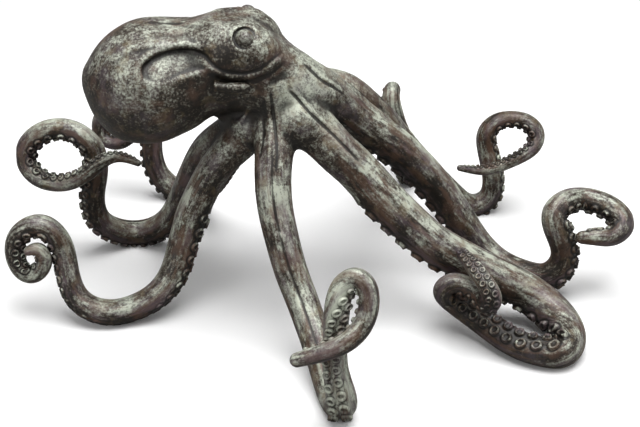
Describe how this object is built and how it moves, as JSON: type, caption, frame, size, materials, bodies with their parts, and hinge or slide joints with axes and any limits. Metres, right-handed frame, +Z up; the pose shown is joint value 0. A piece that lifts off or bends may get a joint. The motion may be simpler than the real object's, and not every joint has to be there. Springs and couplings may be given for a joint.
{
  "type": "octopus figurine",
  "caption": "Free-standing cast octopus ornament with a swollen mantle, a brow over each eye and suckered arms that curl into loops, in a dark bronze-like patina.",
  "frame": {"origin": "on the ground at the centre of the figure's bounding box, seen from above", "axes": "+Z up; +X from the mantle towards the crown of the arms; +Y away from the side that the picture shows"},
  "size_m": [0.505, 0.4196, 0.2423],
  "materials": {
    "patina": "satin",
    "eye": "satin",
    "dowel_steel": "satin"
  },
  "bodies": {
    "root": {"mantle_and_head": "patina", "arm_front_left": "patina", "arm_front_centre": "patina", "arm_front_right": "patina", "arm_right": "patina", "arm_back_right": "patina", "arm_back": "patina", "arm_left": "patina", "arm_back_left": "patina", "dowel_front_left": "dowel_steel", "dowel_front_centre": "dowel_steel", "dowel_front_right": "dowel_steel", "dowel_right": "dowel_steel", "dowel_back_right": "dowel_steel", "dowel_back": "dowel_steel", "dowel_left": "dowel_steel", "dowel_back_left": "dowel_steel", "eye_near": "eye", "eye_far": "eye", "siphon": "patina"}
  },
  "joints": []
}
